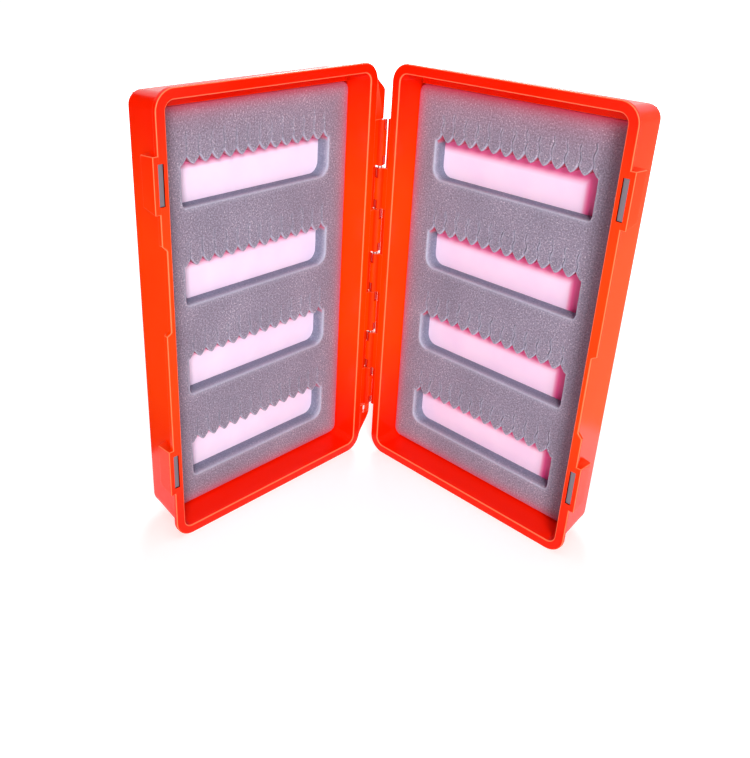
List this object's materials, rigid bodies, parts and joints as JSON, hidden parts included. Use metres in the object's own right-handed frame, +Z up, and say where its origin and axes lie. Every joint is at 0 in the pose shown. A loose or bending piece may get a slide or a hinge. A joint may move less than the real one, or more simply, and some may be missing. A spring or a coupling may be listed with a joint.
{
  "type": "fly box",
  "caption": "Slim two-leaf fly box standing open at a right angle, with a moulded pin hinge, magnetic closure and slit foam inserts.",
  "frame": {"origin": "middle of the footprint's bounding box, on the floor that the open box stands on", "axes": "+Z up, along the hinge. The base runs along +X from the hinge and its back faces +Y. The lid runs along -Y and its back faces -X."},
  "size_m": [0.117, 0.117, 0.155],
  "materials": {
    "red_abs": "gloss, vivid orange-red moulded plastic",
    "steel": "bright drawn wire",
    "magnet": "satin nickel plating",
    "foam": "matt, fine closed-cell foam",
    "white_board": "smooth skinned white foam board"
  },
  "bodies": {
    "base": {"base_shell": "red_abs", "base_magnet_upper": "magnet", "base_magnet_lower": "magnet", "base_foam": "foam", "base_backing": "white_board"},
    "lid": {"lid_shell": "red_abs", "hinge_pin": "steel", "lid_magnet_upper": "magnet", "lid_magnet_lower": "magnet", "lid_foam": "foam", "lid_backing": "white_board"}
  },
  "joints": [
    {"name": "lid_hinge", "type": "hinge", "parent": "base", "child": "lid", "pos_m": [-0.037, 0.037, 0.0775], "axis": [0, 0, 1], "range_deg": [-90, 90]}
  ]
}
